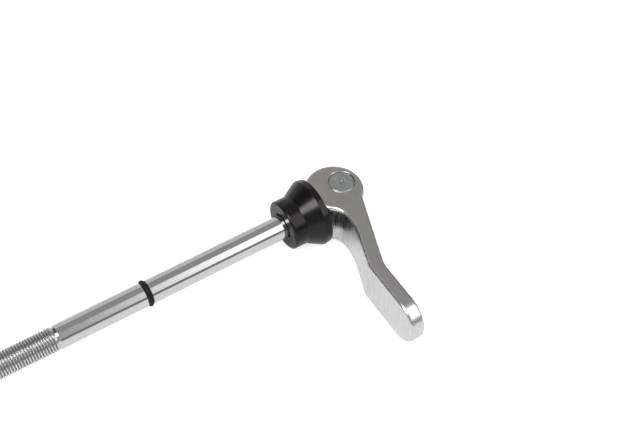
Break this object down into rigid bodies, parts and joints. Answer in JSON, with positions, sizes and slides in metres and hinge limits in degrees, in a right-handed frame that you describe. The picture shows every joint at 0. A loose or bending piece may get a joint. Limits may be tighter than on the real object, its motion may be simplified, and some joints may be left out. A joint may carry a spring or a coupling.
{
  "type": "cam lever",
  "caption": "Quick-release cam lever on a threaded axle rod: an eccentric handle turns about a cross pin and draws the rod through a loose flared collar to clamp.",
  "frame": {"origin": "centre of the collar's clamping face, on the axle's axis", "axes": "+X along the axle from its threaded end to the lever, closed lever towards -Y, cross pin parallel to Z"},
  "size_m": [0.1626, 0.0772, 0.0258],
  "materials": {
    "zinc_plated_steel": "bright zinc plate over a turned surface",
    "black_rubber": "matt moulded rubber",
    "black_acetal": "turned black acetal with a soft sheen",
    "satin_aluminium": "fine satin, tumbled edges"
  },
  "bodies": {
    "axle": {"axle_rod": "zinc_plated_steel", "pivot_pin": "zinc_plated_steel", "o_ring": "black_rubber"},
    "lever": {"cam_lever": "satin_aluminium"},
    "collar": {"cam_collar": "black_acetal"}
  },
  "joints": [
    {"name": "lever_hinge", "type": "hinge", "parent": "axle", "child": "lever", "pos_m": [0.0255, 0, 0], "axis": [0, 0, 1], "range_deg": [0, 180]},
    {"name": "collar_slide", "type": "slide", "parent": "axle", "child": "collar", "axis": [1, 0, 0], "range_m": [-0.055, 0]}
  ]
}
